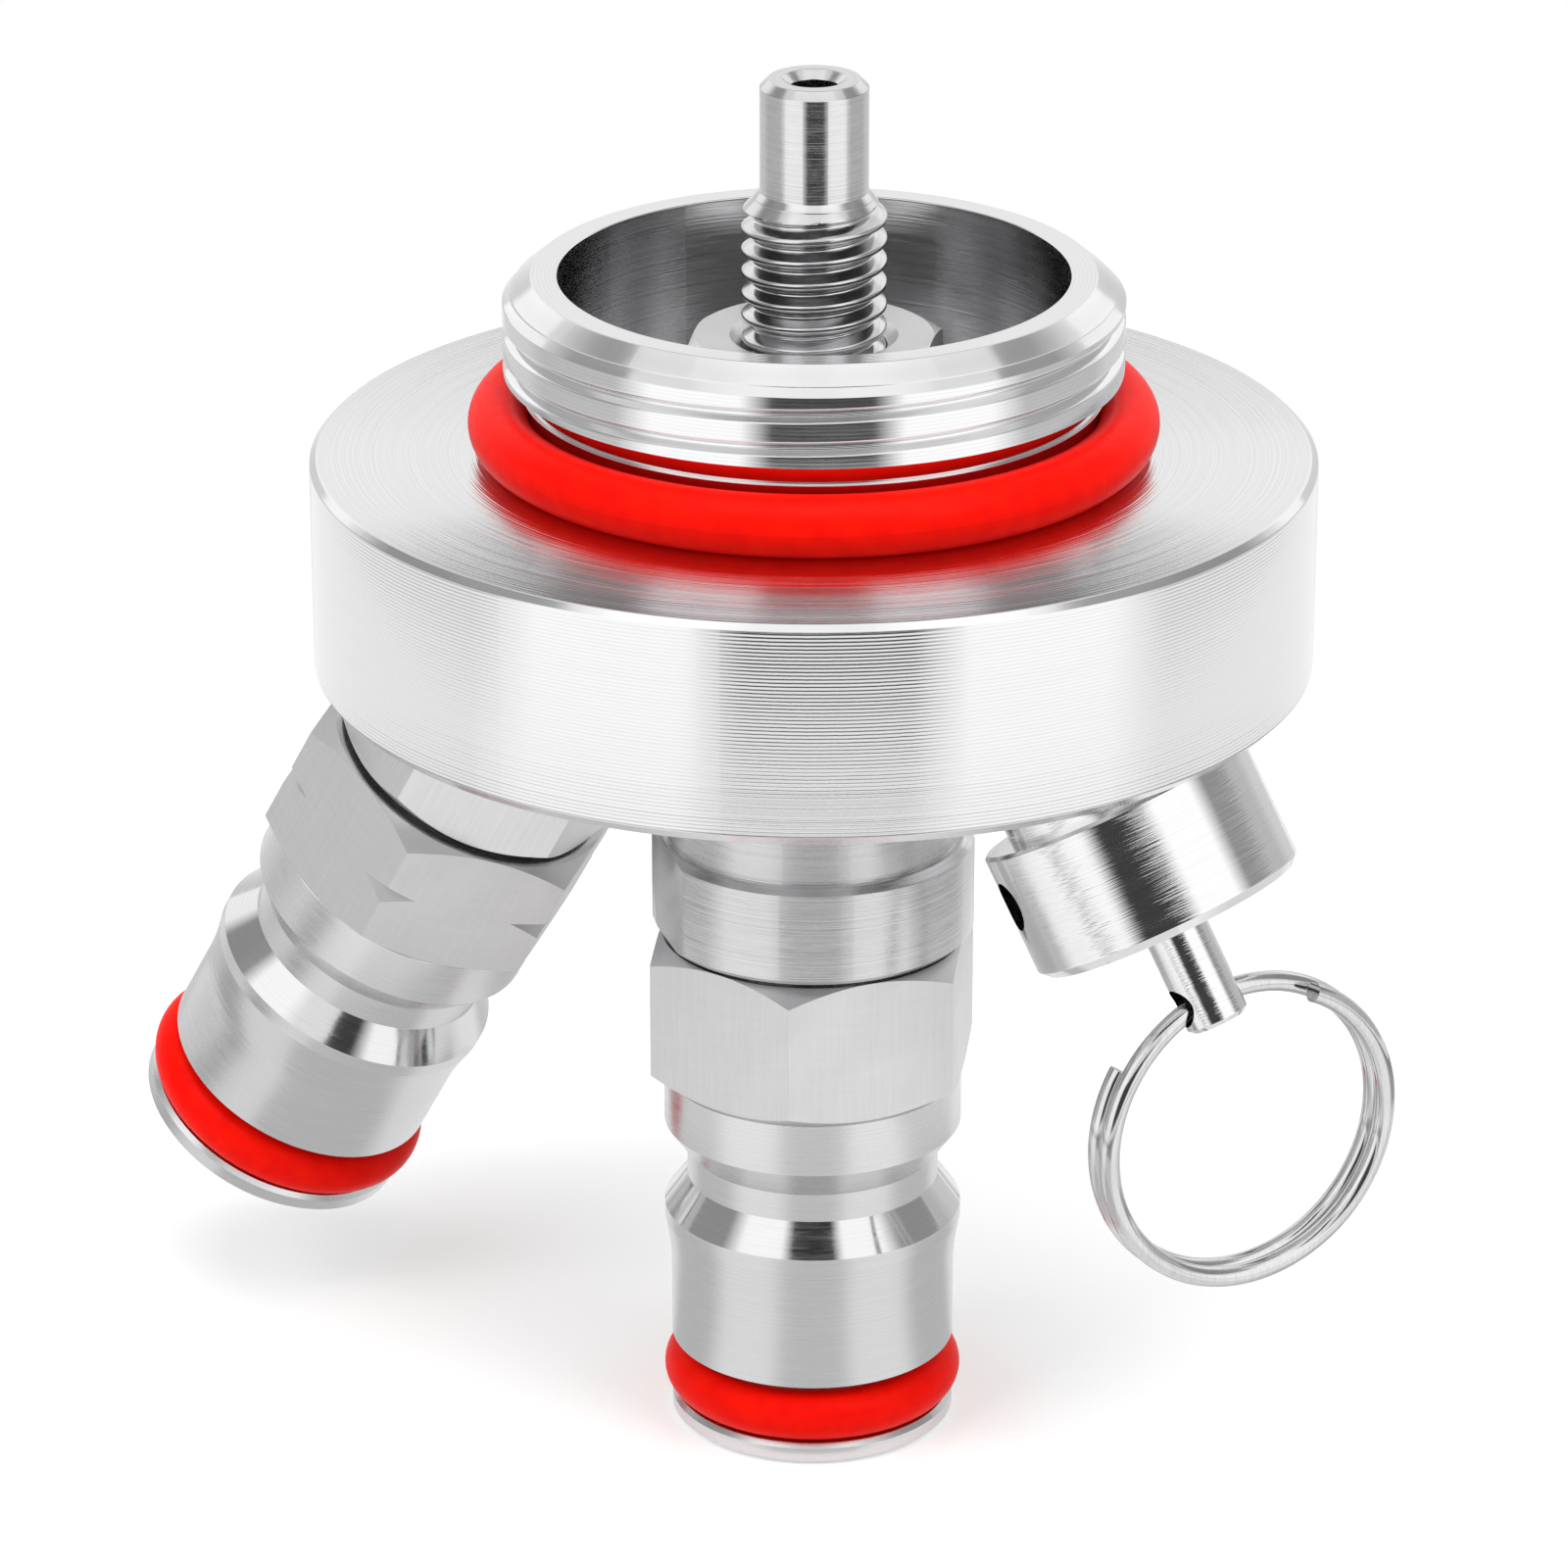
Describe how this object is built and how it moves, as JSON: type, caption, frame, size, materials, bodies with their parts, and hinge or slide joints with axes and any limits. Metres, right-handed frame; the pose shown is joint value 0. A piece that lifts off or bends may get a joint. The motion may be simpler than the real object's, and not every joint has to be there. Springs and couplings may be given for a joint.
{
  "type": "mini keg spear",
  "caption": "Screw-in steel lid for a small keg with a central liquid post, an angled gas post with notched hex, and a relief valve with a pull ring.",
  "frame": {"origin": "on the lid's axis, in the middle of the neck thread, which holds the fitting in a keg", "axes": "+Z along the lid's axis out of the neck thread into the keg; the gas post leans to -X and the relief valve to +X"},
  "size_m": [0.0763, 0.055, 0.0791],
  "materials": {
    "satin_steel": "turned stainless steel with fine lines, satin",
    "polished_steel": "polished stainless steel",
    "red_silicone": "smooth red silicone, satin",
    "black_rubber": "black nitrile rubber, matt",
    "spring_steel": "drawn spring wire"
  },
  "bodies": {
    "head": {"lid": "satin_steel", "neck_seal": "red_silicone", "liquid_stem": "satin_steel", "stem_seal": "black_rubber", "stem_washer": "satin_steel", "stem_nut": "satin_steel", "liquid_post": "satin_steel", "liquid_ring_seal": "red_silicone", "liquid_stub_seal": "black_rubber", "liquid_spring": "spring_steel", "gas_adapter": "satin_steel", "gas_port_seal": "black_rubber", "gas_post": "satin_steel", "gas_ring_seal": "red_silicone", "gas_stub_seal": "black_rubber", "gas_spring": "spring_steel", "relief_body": "polished_steel", "relief_port_seal": "black_rubber", "relief_cap": "polished_steel", "relief_spring": "spring_steel"},
    "liquid_valve_set": {"liquid_valve": "satin_steel", "liquid_valve_rubber": "black_rubber"},
    "gas_valve_set": {"gas_valve": "satin_steel", "gas_valve_rubber": "black_rubber"},
    "relief_valve_set": {"relief_stem": "polished_steel", "relief_disc": "black_rubber"},
    "ring": {"pull_ring": "polished_steel"}
  },
  "joints": [
    {"name": "liquid_valve_slide", "type": "slide", "parent": "head", "child": "liquid_valve_set", "axis": [0, 0, 1], "range_m": [0, 0.003], "stiffness_N_per_m": 1500, "springref_m": -0.004, "deforming": ["liquid_spring"]},
    {"name": "gas_valve_slide", "type": "slide", "parent": "head", "child": "gas_valve_set", "axis": [0.5, 0, 0.866], "range_m": [0, 0.003], "stiffness_N_per_m": 1500, "springref_m": -0.004, "deforming": ["gas_spring"]},
    {"name": "relief_pull", "type": "slide", "parent": "head", "child": "relief_valve_set", "axis": [0.5, 0, -0.866], "range_m": [0, 0.0018], "stiffness_N_per_m": 2500, "springref_m": -0.003, "deforming": ["relief_spring"]},
    {"name": "ring_swing", "type": "hinge", "parent": "relief_valve_set", "child": "ring", "pos_m": [0.02494, 0.00006, -0.03387], "axis": [0.4967, 0.8192, 0.2868], "range_deg": [-120, 60]}
  ]
}
